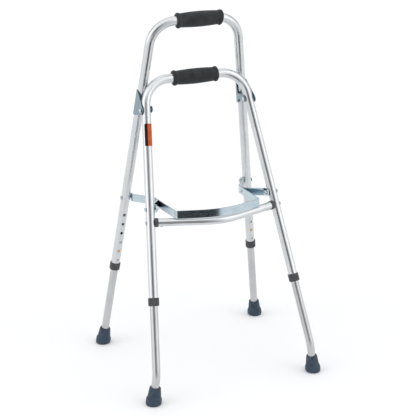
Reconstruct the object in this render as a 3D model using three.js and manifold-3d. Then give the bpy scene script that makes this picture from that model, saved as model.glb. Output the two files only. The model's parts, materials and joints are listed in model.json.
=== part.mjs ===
// Folding one-hand walking frame. Millimetres, +Z up, the low frame at the front (-Y).
// Two bent tube frames lean against each other and pivot in zinc brackets. A locking strap and
// two links hold them apart, and every leg has a sliding extension with a snap button.
import * as THREE from "three";
import { mergeVertices } from "three/addons/utils/BufferGeometryUtils.js";
import Module from "manifold-3d";

const wasm = await Module();
wasm.setup();

// ---- driving dimensions -------------------------------------------------------------------
const GAP = 0.3; // clearance between pieces that touch
const TUBE_R = 11.1; // 7/8 inch upper tube
const TUBE_BORE = 9.85;
const LEG_R = 9.525; // 3/4 inch extension and crossbar
const LEG_BORE = 7.9;

// A frame's legs are straight lines: x = footX - splay z, y = footY + lean z.
const TALL = { footX: 220.4, splay: 0.1296, footY: 179.2, lean: -0.13, top: 862, bend: 62 };
const LOW = { footX: 214.1, splay: 0.121, footY: -207.6, lean: 0.3945, top: 721, bend: 64 };
TALL.tubeEnd = 219.3; // height of the upper tube's lower end
LOW.tubeEnd = 228.2;
TALL.faces = -1; // the height holes look at the other frame
LOW.faces = 1;

const HOLE_PITCH = 25.4; // height holes, along the leg
const HOLES = 6;
const HOLE_R = 3.6;
const FIRST_HOLE = 27.8; // from the tube's end to the lowest hole, along the leg
const BUTTON_R = 3.2;
const BUTTON_PROUD = 1.6; // how far the button stands out of the upper tube
const EXTENSION_ABOVE_BUTTON = 30;
const FOOT_BEND_Z = 74; // where the low frame's extensions turn upright
const FOOT_BEND_R = 70;

const COLLAR_LENGTH = 19.5;
const COLLAR_R = 13.1;
const TIP_HEIGHT = 44;
const TIP_SOCKET_FLOOR = 11;

const GRIP_LENGTH = 117.5;
const GRIP_SHIFT = { tall: 7, low: 1.5 }; // the grips sit a little towards +X

const HINGE_Z = 657;
const SHEET = 1.6; // bracket sheet
const BRACKET_SPREAD = 12.4; // from the leg's centre to the inside of an ear
const PIN_R = 3;
const NOSE_R = 10.5; // round the pivot

const CROSSBAR_Z = 408.4;
const CROSSBAR_SLOPE = 0.32; // how fast its halves run forward
const CROSSBAR_BEND = 130; // radius of the soft bend in its middle
const PLUG_R = 10.9;
const PLUG_SHORT = 7; // how far short of the leg's centre its saddle stops

const BAR = 3; // flat bar, on edge
const BAR_HEIGHT = 19;
const STRAP_TILT = 0.064; // the strap's plane rises towards the front
const STRAP_PIVOT_Z = 416;
const LINK_PIVOT_Z = 438;
const STRAP_ARM_X = 113.5;
const STRAP_KNEE_Y = 57.5;
const STRAP_CORNER_X = 109.5;
const STRAP_CORNER_Y = -70;
const STRAP_BOW = 28;
const LINK_JOINT = { y: 39.8, z: 421 };
const BOLT_R = 3;

const LABEL_Z = [572, 626];
const LABEL_ARC = [-52, 67]; // degrees round the leg from straight ahead, towards +X

// ---- colours ------------------------------------------------------------------------------
const LOOKS = {
  aluminium: [0xc9ccd0, 0.34, 1.0],
  legAluminium: [0xb9bcc0, 0.42, 1.0],
  zinc: [0xa3b1ba, 0.3, 1.0],
  steel: [0xb4b8bb, 0.3, 1.0],
  brass: [0xc2944a, 0.3, 1.0],
  foam: [0x2a2b2d, 0.92, 0.0],
  plastic: [0x404246, 0.6, 0.0],
  rubber: [0x3c4c61, 0.8, 0.0],
  orange: [0xd8542a, 0.5, 0.0],
};

// ---- solids -------------------------------------------------------------------------------
const root = new THREE.Group();
root.name = "walking_frame";

function solid(geometry) {
  const bare = geometry.clone();
  bare.deleteAttribute("normal");
  bare.deleteAttribute("uv");
  const merged = mergeVertices(bare, 1e-3);
  const mesh = new wasm.Mesh({
    numProp: 3,
    vertProperties: merged.attributes.position.array,
    triVerts: new Uint32Array(merged.index.array),
  });
  return new wasm.Manifold(mesh);
}

function geometryOf(manifold) {
  const mesh = manifold.getMesh();
  const geometry = new THREE.BufferGeometry();
  geometry.setAttribute("position", new THREE.BufferAttribute(mesh.vertProperties, 3));
  geometry.setIndex(new THREE.BufferAttribute(mesh.triVerts, 1));
  geometry.computeVertexNormals();
  return geometry;
}

function cut(geometry, tools) {
  let left = solid(geometry);
  for (const tool of tools) {
    left = left.subtract(solid(tool));
  }
  return geometryOf(left);
}

function add(name, geometry, look) {
  const [color, roughness, metalness] = LOOKS[look];
  const material = new THREE.MeshStandardMaterial({ color, roughness, metalness });
  material.name = look;
  const mesh = new THREE.Mesh(geometry, material);
  mesh.name = name;
  root.add(mesh);
  return mesh;
}

const v3 = (x, y, z) => new THREE.Vector3(x, y, z);

// Puts a shape made along +Z, from its origin, along a direction at a point.
function place(geometry, at, direction) {
  const turn = new THREE.Quaternion().setFromUnitVectors(v3(0, 0, 1), direction.clone().normalize());
  return geometry.applyQuaternion(turn).translate(at.x, at.y, at.z);
}

// A full turn of [radius, height] pairs about +Z. The profile starts and ends on the axis, or closes.
function turned(profile, segments) {
  const points = profile.map(([r, z]) => new THREE.Vector2(r, z));
  return new THREE.LatheGeometry(points, segments).rotateX(Math.PI / 2);
}

function rod(radius, length, segments = 16) {
  return turned([[0, 0], [radius, 0], [radius, length], [0, length]], segments);
}

function rodBetween(a, b, radius, segments) {
  return place(rod(radius, a.distanceTo(b), segments), a, b.clone().sub(a));
}

// A path through given points with given directions, so that straight runs need no extra steps.
class Route extends THREE.Curve {
  constructor(stations) {
    super();
    this.stations = stations;
  }

  between(t) {
    const s = Math.min(t, 1) * (this.stations.length - 1);
    const i = Math.min(Math.floor(s), this.stations.length - 2);
    return [this.stations[i], this.stations[i + 1], s - i];
  }

  getPoint(t, target = new THREE.Vector3()) {
    const [a, b, f] = this.between(t);
    return target.lerpVectors(a.point, b.point, f);
  }

  getTangent(t, target = new THREE.Vector3()) {
    const [a, b, f] = this.between(t);
    return target.lerpVectors(a.along, b.along, f).normalize();
  }

  getUtoTmapping(u) {
    return u;
  }
}

// Stations of a polyline whose corners are rounded by the radii given.
function rounded(corners, radii, stepsPerCorner) {
  const stations = [];
  const last = corners.length - 1;
  const direction = (i) => corners[i + 1].clone().sub(corners[i]).normalize();
  stations.push({ point: corners[0], along: direction(0) });
  for (let i = 1; i < last; i += 1) {
    const before = direction(i - 1);
    const after = direction(i);
    const turn = before.angleTo(after);
    const radius = radii[i - 1];
    const reach = radius * Math.tan(turn / 2);
    const start = corners[i].clone().addScaledVector(before, -reach);
    const inward = after.clone().addScaledVector(before, -before.dot(after)).normalize();
    const centre = start.clone().addScaledVector(inward, radius);
    for (let k = 0; k <= stepsPerCorner; k += 1) {
      const a = (turn * k) / stepsPerCorner;
      const point = centre.clone().addScaledVector(inward, -radius * Math.cos(a));
      point.addScaledVector(before, radius * Math.sin(a));
      const along = before.clone().multiplyScalar(Math.cos(a)).addScaledVector(inward, Math.sin(a));
      stations.push({ point, along });
    }
  }
  stations.push({ point: corners[last], along: direction(last - 1) });
  return stations;
}

function ring(outer, bore, segments, boreSegments) {
  const circle = (r, n) =>
    Array.from({ length: n }, (_, i) => {
      const a = (2 * Math.PI * i) / n;
      return new THREE.Vector2(r * Math.cos(a), r * Math.sin(a));
    });
  const shape = new THREE.Shape(circle(outer, segments));
  shape.holes.push(new THREE.Path(circle(bore, boreSegments)));
  return shape;
}

function pipe(stations, outer, bore, segments = 20, boreSegments = 16) {
  return new THREE.ExtrudeGeometry(ring(outer, bore, segments, boreSegments), {
    steps: stations.length - 1,
    extrudePath: new Route(stations),
  });
}

// ---- the two frames -----------------------------------------------------------------------
const legPoint = (f, side, z) => v3(side * (f.footX - f.splay * z), f.footY + f.lean * z, z);
const legUp = (f, side) => v3(-side * f.splay, f.lean, 1).normalize();

// Square to the leg, looking at the other frame.
function legFace(f, side) {
  const up = legUp(f, side);
  return v3(0, f.faces, 0).addScaledVector(up, -f.faces * up.y).normalize();
}

function frameStations(f) {
  const corners = [
    legPoint(f, -1, f.tubeEnd),
    legPoint(f, -1, f.top),
    legPoint(f, 1, f.top),
    legPoint(f, 1, f.tubeEnd),
  ];
  return rounded(corners, [f.bend, f.bend], 7);
}

// Centres of a leg's height holes, from the lowest up. The snap button sits in the second.
function heightHoles(f, side) {
  const end = legPoint(f, side, f.tubeEnd);
  const up = legUp(f, side);
  return Array.from({ length: HOLES }, (_, i) =>
    end.clone().addScaledVector(up, FIRST_HOLE + i * HOLE_PITCH),
  );
}

const SIDES = [["left", -1], ["right", 1]];

function crossPoint(side) {
  return legPoint(LOW, side, CROSSBAR_Z);
}

const strapPivot = (side) => legPoint(TALL, side, STRAP_PIVOT_Z);
const linkPivot = (side) => legPoint(LOW, side, LINK_PIVOT_Z);

function crosswise(at, reach, radius, segments = 10) {
  return rodBetween(v3(at.x - reach, at.y, at.z), v3(at.x + reach, at.y, at.z), radius, segments);
}

function frameTube(f, crossHoles) {
  const tools = [];
  for (const [, side] of SIDES) {
    for (const hole of heightHoles(f, side)) {
      const out = hole.clone().addScaledVector(legFace(f, side), 20);
      tools.push(rodBetween(hole, out, HOLE_R, 10));
    }
    tools.push(...crossHoles(side));
  }
  return cut(pipe(frameStations(f), TUBE_R, TUBE_BORE), tools);
}

const hingePoint = (side) => legPoint(LOW, side, HINGE_Z);
const bracketRivets = (side) => [648, 682].map((z) => legPoint(TALL, side, z));

add(
  "tall_frame_tube",
  frameTube(TALL, (side) => [
    crosswise(strapPivot(side), 20, BOLT_R + GAP),
    ...bracketRivets(side).map((p) => rodBetween(p, v3(p.x, p.y + 20, p.z), 2.4 + GAP, 12)),
  ]),
  "aluminium",
);
add(
  "low_frame_tube",
  frameTube(LOW, (side) => [
    crosswise(hingePoint(side), 20, PIN_R + GAP),
    crosswise(linkPivot(side), 20, BOLT_R + GAP),
    crosswise(crossPoint(side), 20, 2.4 + GAP),
  ]),
  "aluminium",
);

// ---- grips --------------------------------------------------------------------------------
function lengthsAlong(stations) {
  const lengths = [0];
  for (let i = 1; i < stations.length; i += 1) {
    lengths.push(lengths[i - 1] + stations[i].point.distanceTo(stations[i - 1].point));
  }
  return lengths;
}

// Bends a shape made along +Z onto a frame's top bar, z = 0 at the given length along the tube.
function ontoTopBar(geometry, f, middle) {
  const stations = frameStations(f);
  const lengths = lengthsAlong(stations);
  const forward = v3(0, -1, f.lean).normalize();
  const position = geometry.attributes.position;
  for (let i = 0; i < position.count; i += 1) {
    const s = middle + position.getZ(i);
    let k = 1;
    while (k < lengths.length - 1 && lengths[k] < s) {
      k += 1;
    }
    const t = (s - lengths[k - 1]) / (lengths[k] - lengths[k - 1]);
    const a = stations[k - 1];
    const b = stations[k];
    const along = a.along.clone().lerp(b.along, t).normalize();
    const across = along.clone().cross(forward).normalize();
    const point = a.point.clone().lerp(b.point, t);
    point.addScaledVector(forward, position.getX(i));
    point.addScaledVector(across, position.getY(i));
    position.setXYZ(i, point.x, point.y, point.z);
  }
  geometry.computeVertexNormals();
  return geometry;
}

function grip(f, shift) {
  const half = GRIP_LENGTH / 2;
  const lengths = lengthsAlong(frameStations(f));
  const middle = lengths[lengths.length - 1] / 2 + shift;
  const outside = [
    [-half, 15.4],
    [-half + 1.5, 17.4],
    [-half + 4.5, 18.7],
    [-half + 8, 18.1],
    [-half + 12, 16.5],
    [-half + 19, 16.5],
    [-half + 32, 17.7],
    [-14, 18.7],
  ];
  const profile = [...outside, [0, 18.9], ...outside.map(([z, r]) => [-z, r]).reverse()];
  const points = profile.map(([z, r]) => [r, z]);
  // The bore turns where the tube inside it turns.
  const turns = lengths.map((s) => s - middle).filter((s) => Math.abs(s) < half - 0.5);
  const inside = [-half, ...turns, half].reverse();
  points.push(...inside.map((z) => [TUBE_R + GAP, z]), points[0]);
  return ontoTopBar(turned(points, 18), f, middle);
}

add("tall_grip", grip(TALL, GRIP_SHIFT.tall), "foam");
add("low_grip", grip(LOW, GRIP_SHIFT.low), "foam");

// ---- hinge brackets -----------------------------------------------------------------------
// One sheet folded round the back of the tall leg: a three-cornered ear outside the low leg and a
// short lug inside it.
function bracket(side) {
  const low = hingePoint(side);
  const tall = legPoint(TALL, side, HINGE_Z);
  const middle = (low.x + tall.x) / 2;
  const inside = BRACKET_SPREAD;
  const outside = inside + SHEET;
  const plan = new THREE.Shape();
  const front = low.y - 13;
  const back = TUBE_R + GAP;
  const arc = (wide, deep) =>
    Array.from({ length: 13 }, (_, i) => {
      const a = (Math.PI * i) / 12;
      return new THREE.Vector2(wide * Math.cos(a), 0.3 + deep * Math.sin(a));
    });
  plan.setFromPoints([
    new THREE.Vector2(outside, front - tall.y),
    ...arc(outside, back + SHEET),
    new THREE.Vector2(-outside, front - tall.y),
    new THREE.Vector2(-inside, front - tall.y),
    ...arc(inside, back).reverse(),
    new THREE.Vector2(inside, front - tall.y),
  ]);
  // The saddle stands along the leaning leg, so each level is shifted with it.
  const folded = new THREE.ExtrudeGeometry(plan, { depth: 90, bevelEnabled: false });
  const position = folded.attributes.position;
  for (let i = 0; i < position.count; i += 1) {
    const dz = position.getZ(i) - 45;
    const z = HINGE_Z + 12 + dz;
    const y = position.getY(i);
    const follow = THREE.MathUtils.smoothstep(y, -tall.y + low.y + 14, -TUBE_R);
    const leg = legPoint(TALL, side, z);
    const x = middle + position.getX(i) + leg.x - tall.x;
    position.setXYZ(i, x, tall.y + y + (leg.y - tall.y) * follow, z);
  }
  // Side view of an ear: nose round the pivot, apex by the tall leg, rising lower edge.
  const sideView = (apex, heel, nose) => {
    const touch = (p, turn) => {
      const dy = p.x - low.y;
      const dz = p.y - HINGE_Z;
      return Math.atan2(dz, dy) + turn * Math.acos(nose / Math.hypot(dy, dz));
    };
    const first = touch(apex, 1);
    const last = touch(heel, -1) + 2 * Math.PI;
    const outline = new THREE.Shape();
    outline.moveTo(apex.x, apex.y);
    for (let i = 0; i <= 8; i += 1) {
      const a = first + ((last - first) * i) / 8;
      outline.lineTo(low.y + nose * Math.cos(a), HINGE_Z + nose * Math.sin(a));
    }
    outline.lineTo(heel.x, heel.y);
    outline.lineTo(heel.x, HINGE_Z - 20);
    outline.lineTo(tall.y + 30, HINGE_Z - 20);
    outline.lineTo(tall.y + 30, HINGE_Z + 40);
    outline.lineTo(tall.y - 7, HINGE_Z + 40);
    return outline;
  };
  const corner = (y, z) => new THREE.Vector2(tall.y + y, HINGE_Z + z);
  const outer = sideView(corner(-7, 40), corner(-6, -20), NOSE_R);
  const inner = sideView(corner(-7, 7), corner(-6, -9), 8);
  // Each outline is stretched across its part of the sheet, the lug's from just inside the leg.
  const across = (outline, from, to) => {
    const slab = new THREE.ExtrudeGeometry(outline, { depth: to - from, bevelEnabled: false });
    return solid(
      slab.applyMatrix4(new THREE.Matrix4().set(0, 0, 1, middle + from, 1, 0, 0, 0, 0, 1, 0, 0, 0, 0, 0, 1)),
    );
  };
  const [outerSpan, innerSpan] = side > 0 ? [[-6, 30], [-30, -6]] : [[-30, 6], [6, 30]];
  const ears = across(outer, ...outerSpan).add(across(inner, ...innerSpan));
  let sheet = solid(folded).intersect(ears);
  sheet = sheet.subtract(solid(crosswise(low, 30, PIN_R + GAP)));
  for (const p of bracketRivets(side)) {
    sheet = sheet.subtract(solid(rodBetween(p, v3(p.x, p.y + 30, p.z), 2.4 + GAP, 12)));
  }
  return geometryOf(sheet);
}

// A rivet or bolt between two points: a domed head at each end that is given one.
function fastener(a, b, radius, headA, headB, segments = 10) {
  const length = a.distanceTo(b);
  const dome = (r, h) => [[r, 0], [r, h * 0.35], [r * 0.6, h]];
  const profile = [];
  if (headA) {
    const [r, h] = headA;
    profile.push([0, -h], ...dome(r, h).reverse().map(([x, z]) => [x, -z]));
  } else {
    profile.push([0, 0]);
  }
  profile.push([radius, 0], [radius, length]);
  if (headB) {
    const [r, h] = headB;
    profile.push(...dome(r, h).map(([x, z]) => [x, length + z]), [0, length + h]);
  } else {
    profile.push([0, length]);
  }
  return place(turned(profile, segments), a, b.clone().sub(a));
}

for (const [word, side] of SIDES) {
  const low = hingePoint(side);
  const tall = legPoint(TALL, side, HINGE_Z);
  const middle = (low.x + tall.x) / 2;
  const reach = BRACKET_SPREAD + SHEET + TALL.splay * 5.6 + GAP;
  add(`hinge_bracket_${word}`, bracket(side), "zinc");
  add(
    `hinge_rivet_${word}`,
    fastener(v3(middle - reach, low.y, low.z), v3(middle + reach, low.y, low.z), PIN_R, [5.6, 2.6], [5.6, 2.6]),
    "steel",
  );
  bracketRivets(side).forEach((p, i) => {
    const inner = v3(p.x, p.y + TUBE_BORE - 1.2, p.z);
    const outer = v3(p.x, p.y + TUBE_R + SHEET + 3 * GAP + 0.5, p.z);
    add(
      `bracket_rivet_${word}_${i ? "upper" : "lower"}`,
      fastener(inner, outer, 2.4, null, [4.4, 1.8], 10),
      "steel",
    );
  });
}

// ---- crossbar -----------------------------------------------------------------------------
const crossbarY = (x) => crossPoint(1).y - CROSSBAR_SLOPE * (crossPoint(1).x - Math.abs(x));

function crossbarCorners(endX) {
  return [
    v3(-endX, crossbarY(endX), CROSSBAR_Z),
    v3(0, crossbarY(0), CROSSBAR_Z),
    v3(endX, crossbarY(endX), CROSSBAR_Z),
  ];
}

const BAR_END_X = crossPoint(1).x - TUBE_R - 3.5; // the crossbar's ends, just inside the legs
const PIN_X = crossPoint(1).x - TUBE_R - 14; // the pins under the crossbar
const alongBar = (side) => v3(side, CROSSBAR_SLOPE, 0).normalize();

add(
  "crossbar_tube",
  cut(
    pipe(rounded(crossbarCorners(BAR_END_X), [CROSSBAR_BEND], 6), LEG_R, LEG_BORE),
    SIDES.map(([, side]) => {
      const at = v3(side * PIN_X, crossbarY(PIN_X), CROSSBAR_Z);
      return rodBetween(v3(at.x, at.y, at.z - 20), at, 2 + GAP, 10);
    }),
  ),
  "aluminium",
);

for (const [word, side] of SIDES) {
  const end = v3(side * BAR_END_X, crossbarY(BAR_END_X), CROSSBAR_Z);
  const out = alongBar(side);
  const from = (d) => end.clone().addScaledVector(out, d);
  // Cap over the tube's end and a stem inside it, hollowed by the leg.
  const profile = [
    [0, -20],
    [LEG_BORE - GAP, -20],
    [LEG_BORE - GAP, GAP],
    [LEG_R + GAP, GAP],
    [LEG_R + GAP, -3],
    [PLUG_R, -3],
    [PLUG_R, 16],
    [0, 16],
  ];
  const leg = rodBetween(
    crossPoint(side).addScaledVector(legUp(LOW, side), -40),
    crossPoint(side).addScaledVector(legUp(LOW, side), 40),
    TUBE_R + GAP,
    20,
  );
  const beyond = new THREE.BoxGeometry(40, 60, 60).translate(
    crossPoint(side).x + side * (20 - PLUG_SHORT),
    crossPoint(side).y,
    CROSSBAR_Z,
  );
  const under = v3(side * PIN_X, crossbarY(PIN_X), CROSSBAR_Z);
  const inX = crossPoint(side).x - side * (TUBE_R + 6.4);
  add(
    `crossbar_plug_${word}`,
    cut(place(turned(profile, 16), end, out), [
      leg,
      beyond,
      rodBetween(v3(inX, crossPoint(side).y, CROSSBAR_Z), crossPoint(side), 2.4 + GAP, 12),
      rodBetween(v3(under.x, under.y, under.z - 20), v3(under.x, under.y, under.z - 2), 2 + GAP, 10),
    ]),
    "plastic",
  );
  const outerFace = v3(crossPoint(side).x + side * (TUBE_R + GAP + 0.3), crossPoint(side).y, CROSSBAR_Z);
  add(
    `crossbar_rivet_${word}`,
    fastener(outerFace, v3(inX + side * 0.5, crossPoint(side).y, CROSSBAR_Z), 2.4, [5, 2.2], null),
    "steel",
  );
  add(
    `crossbar_pin_${word}`,
    fastener(
      v3(under.x, under.y, under.z - LEG_R - GAP),
      v3(under.x, under.y, under.z - 2.4),
      2,
      [3.6, 1.4],
      null,
      10,
    ),
    "steel",
  );
}

// ---- locking strap and links --------------------------------------------------------------
// A flat bar on edge: a plan of its middle line, given thickness, then height.
function flatBar(stations, height) {
  const left = [];
  const right = [];
  for (const { point, along } of stations) {
    const n = v3(-along.y, along.x, 0).normalize().multiplyScalar(BAR / 2);
    left.push(new THREE.Vector2(point.x + n.x, point.y + n.y));
    right.push(new THREE.Vector2(point.x - n.x, point.y - n.y));
  }
  const shape = new THREE.Shape([...left, ...right.reverse()]);
  return new THREE.ExtrudeGeometry(shape, { depth: height, bevelEnabled: false }).translate(0, 0, -height / 2);
}

// Rounds a bar's end: takes off what lies past the pivot and outside the bar's half height.
function endRounder(at, ahead, tilt) {
  const reach = BAR_HEIGHT / 2;
  const block = new THREE.BoxGeometry(20, 30, 40).translate(0, 15 * ahead, 0).rotateX(tilt);
  block.translate(at.x, at.y, at.z);
  return geometryOf(solid(block).subtract(solid(crosswise(at, 20, reach, 24))));
}

const strapTabX = (side) => {
  const p = strapPivot(side);
  return p.x - side * (TUBE_R + TALL.splay * BAR_HEIGHT * 0.5 + GAP + BAR / 2 + 0.3);
};
const linkTabX = (side) => {
  const p = linkPivot(side);
  return p.x - side * (TUBE_R + LOW.splay * BAR_HEIGHT * 0.5 + GAP + BAR / 2 + 0.3);
};
const pivotY = strapPivot(1).y;
const armLean = (STRAP_ARM_X - STRAP_CORNER_X) / (STRAP_KNEE_Y - STRAP_CORNER_Y);
const armX = (y) => STRAP_ARM_X - armLean * (STRAP_KNEE_Y - y);
const linkInnerX = STRAP_ARM_X + BAR + 0.5;

function strap() {
  const tab = strapTabX(1);
  const half = [
    v3(tab, pivotY + BAR_HEIGHT / 2, 0),
    v3(tab, pivotY - 11, 0),
    v3(STRAP_ARM_X, STRAP_KNEE_Y, 0),
    v3(STRAP_CORNER_X, STRAP_CORNER_Y, 0),
  ];
  const corners = [
    ...half.map((p) => v3(-p.x, p.y, 0)),
    v3(0, STRAP_CORNER_Y - STRAP_BOW * 1.35, 0),
    ...half.reverse(),
  ];
  const stations = rounded(corners, [10, 9, 7, 170, 7, 9, 10], 6);
  const bar = flatBar(stations, BAR_HEIGHT);
  bar.translate(0, -pivotY, 0).rotateX(-Math.atan(STRAP_TILT)).translate(0, pivotY, STRAP_PIVOT_Z);
  const tools = [];
  for (const [, side] of SIDES) {
    const pivot = v3(strapTabX(side), pivotY, STRAP_PIVOT_Z);
    tools.push(crosswise(pivot, 20, BOLT_R + GAP));
    tools.push(endRounder(pivot, 1, -Math.atan(STRAP_TILT)));
    tools.push(crosswise(v3(side * STRAP_ARM_X, LINK_JOINT.y, LINK_JOINT.z), 12, 2.5 + GAP, 12));
  }
  return cut(bar, tools);
}

function link(side) {
  const f = linkPivot(side);
  const corners = [
    v3(side * linkInnerX, LINK_JOINT.y + BAR_HEIGHT / 2, 0),
    v3(side * linkInnerX, LINK_JOINT.y - 10, 0),
    v3(linkTabX(side), f.y + 12, 0),
    v3(linkTabX(side), f.y - BAR_HEIGHT / 2, 0),
  ];
  const bar = flatBar(rounded(corners, [10, 10], 5), BAR_HEIGHT);
  const tilt = Math.atan2(f.z - LINK_JOINT.z, LINK_JOINT.y - f.y);
  bar.translate(0, -LINK_JOINT.y, 0).rotateX(-tilt).translate(0, LINK_JOINT.y, LINK_JOINT.z);
  const joint = v3(side * linkInnerX, LINK_JOINT.y, LINK_JOINT.z);
  const pivot = v3(linkTabX(side), f.y, f.z);
  return cut(bar, [
    crosswise(joint, 12, 2.5 + GAP, 12),
    crosswise(pivot, 12, BOLT_R + GAP),
    endRounder(joint, 1, -tilt),
    endRounder(pivot, -1, -tilt),
  ]);
}

// A hexagon nut on the inside of a bar. Given a reach, it carries the bolt's end through the bar.
function nut(at, side, reach) {
  const hexagon = turned([[0, 0], [5.6, 0], [5.6, 3.6], [3.9, 6.2], [0, 7]], 6);
  const placed = place(hexagon, at, v3(-side, 0, 0));
  if (!reach) {
    return cut(placed, [crosswise(at, 4.6, BOLT_R + GAP)]);
  }
  const end = rodBetween(v3(at.x - side, at.y, at.z), v3(at.x + side * reach, at.y, at.z), BOLT_R, 10);
  return geometryOf(solid(placed).add(solid(end)));
}

add("locking_strap", strap(), "zinc");
for (const [word, side] of SIDES) {
  add(`folding_link_${word}`, link(side), "zinc");
  const { y, z } = LINK_JOINT;
  const armInside = side * (armX(y) - BAR / 2 - GAP - 0.2);
  const linkOutside = side * (linkInnerX + BAR / 2 + GAP);
  add(
    `link_rivet_${word}`,
    fastener(v3(armInside, y, z), v3(linkOutside, y, z), 2.5, [4.4, 1.8], [4.4, 1.8]),
    "steel",
  );
  const high = strapPivot(side);
  const strapNutX = strapTabX(side) - side * (BAR / 2 + GAP);
  add(
    `strap_bolt_${word}`,
    fastener(
      v3(high.x + side * (TUBE_R + GAP + 0.5), high.y, high.z),
      v3(strapNutX - side * 4.2, high.y, high.z),
      BOLT_R,
      [5.4, 2.6],
      null,
    ),
    "steel",
  );
  add(`strap_nut_${word}`, nut(v3(strapNutX, high.y, high.z), side), "steel");
  // The link's bolt ends just inside the leg, and its nut holds the rest of it.
  const low = linkPivot(side);
  add(
    `link_bolt_${word}`,
    fastener(
      v3(low.x + side * (TUBE_R + GAP + 0.5), low.y, low.z),
      v3(linkTabX(side) + side * (BAR / 2 + 0.8), low.y, low.z),
      BOLT_R,
      [5.4, 2.6],
      null,
    ),
    "steel",
  );
  const linkNut = v3(linkTabX(side) - side * (BAR / 2 + GAP), low.y, low.z);
  add(`link_nut_${word}`, nut(linkNut, side, BAR + GAP + 0.4), "steel");
}

// ---- collars, extensions, snap buttons and tips -------------------------------------------
function collar(f, side) {
  const up = legUp(f, side);
  const base = legPoint(f, side, f.tubeEnd).addScaledVector(up, -2.5);
  const profile = [
    [LEG_R + GAP, 0],
    [COLLAR_R - 1, 0],
    [COLLAR_R, 1.2],
    [COLLAR_R, COLLAR_LENGTH - 1.2],
    [COLLAR_R - 1, COLLAR_LENGTH],
    [TUBE_R + GAP, COLLAR_LENGTH],
    [TUBE_R + GAP, 2.2],
    [LEG_R + GAP, 2.2],
    [LEG_R + GAP, 0],
  ];
  return place(turned(profile, 16), base, up);
}

const footUp = (f, side) => (f === LOW ? v3(-side * f.splay, 0, 1).normalize() : legUp(f, side));

function footPoint(f, side, z) {
  if (f === TALL) {
    return legPoint(f, side, z);
  }
  const bend = legPoint(f, side, FOOT_BEND_Z);
  return bend.addScaledVector(footUp(f, side), (z - FOOT_BEND_Z) / footUp(f, side).z);
}

const buttonPoint = (f, side) => heightHoles(f, side)[1];

function extension(f, side) {
  const top = buttonPoint(f, side).addScaledVector(legUp(f, side), EXTENSION_ABOVE_BUTTON);
  const bottom = footPoint(f, side, TIP_SOCKET_FLOOR + 3.4);
  const corners = f === LOW ? [bottom, legPoint(f, side, FOOT_BEND_Z), top] : [bottom, top];
  const stations = rounded(corners, [FOOT_BEND_R], 5);
  const at = buttonPoint(f, side);
  const out = at.clone().addScaledVector(legFace(f, side), 20);
  return cut(pipe(stations, LEG_R, LEG_BORE), [rodBetween(at, out, BUTTON_R + GAP, 14)]);
}

function snapButton(f, side) {
  const face = legFace(f, side);
  const base = buttonPoint(f, side).addScaledVector(face, LEG_BORE - 2.4);
  const proud = TUBE_R + BUTTON_PROUD - LEG_BORE + 2.4;
  const profile = [
    [0, 0],
    [4.3, 0],
    [4.3, 1],
    [BUTTON_R, 1.3],
    [BUTTON_R, proud - 1.4],
    [BUTTON_R * 0.75, proud - 0.4],
    [BUTTON_R * 0.35, proud],
    [0, proud],
  ];
  return place(turned(profile, 12), base, face);
}

// A bent leaf behind the button: up its back, round, and down the far wall.
function springClip(f, side) {
  const up = legUp(f, side);
  const face = legFace(f, side);
  const at = buttonPoint(f, side);
  const flat = [
    new THREE.Vector2(LEG_BORE - 3.2, 5),
    new THREE.Vector2(LEG_BORE - 4.2, -20),
    new THREE.Vector2(1.5, -30),
    new THREE.Vector2(-2.5, -30),
    new THREE.Vector2(-LEG_BORE + 2.8, -20),
    new THREE.Vector2(-LEG_BORE + 2.2, 4),
  ];
  const back = flat.map((p, i) => {
    const a = flat[Math.max(i - 1, 0)];
    const b = flat[Math.min(i + 1, flat.length - 1)];
    const n = new THREE.Vector2(-(b.y - a.y), b.x - a.x).normalize();
    return p.clone().addScaledVector(n, -0.7);
  });
  const shape = new THREE.Shape([...flat, ...back.reverse()]);
  const leaf = new THREE.ExtrudeGeometry(shape, { depth: 6, bevelEnabled: false }).translate(0, 0, -3);
  const basis = new THREE.Matrix4().makeBasis(face, up, face.clone().cross(up));
  basis.setPosition(at);
  return leaf.applyMatrix4(basis);
}

function tip(f, side) {
  const up = footUp(f, side);
  const base = footPoint(f, side, 0);
  const profile = [
    [0, -4],
    [17.6, -4],
    [17.6, 0.4],
    [19.3, 3.2],
    [18.7, 16],
    [16.6, 18.2],
    [13.5, TIP_HEIGHT - 1.2],
    [12.8, TIP_HEIGHT],
    [LEG_R + GAP, TIP_HEIGHT],
    [LEG_R + GAP, TIP_SOCKET_FLOOR],
    [0, TIP_SOCKET_FLOOR],
  ];
  const below = new THREE.BoxGeometry(80, 80, 40).translate(base.x, base.y, -20);
  return cut(place(turned(profile, 18), base, up), [below]);
}

function washer(f, side) {
  const up = footUp(f, side);
  const base = footPoint(f, side, 0).addScaledVector(up, TIP_SOCKET_FLOOR + GAP);
  return place(turned([[0, 0], [9, 0], [9, 1.6], [0, 1.6]], 12), base, up);
}

for (const [frame, f] of [["tall", TALL], ["low", LOW]]) {
  for (const [word, side] of SIDES) {
    const leg = `${frame}_${word}`;
    add(`collar_${leg}`, collar(f, side), "plastic");
    add(`leg_extension_${leg}`, extension(f, side), "legAluminium");
    add(`snap_button_${leg}`, snapButton(f, side), "brass");
    add(`spring_clip_${leg}`, springClip(f, side), "steel");
    add(`rubber_tip_${leg}`, tip(f, side), "rubber");
    add(`tip_washer_${leg}`, washer(f, side), "steel");
  }
}

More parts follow.
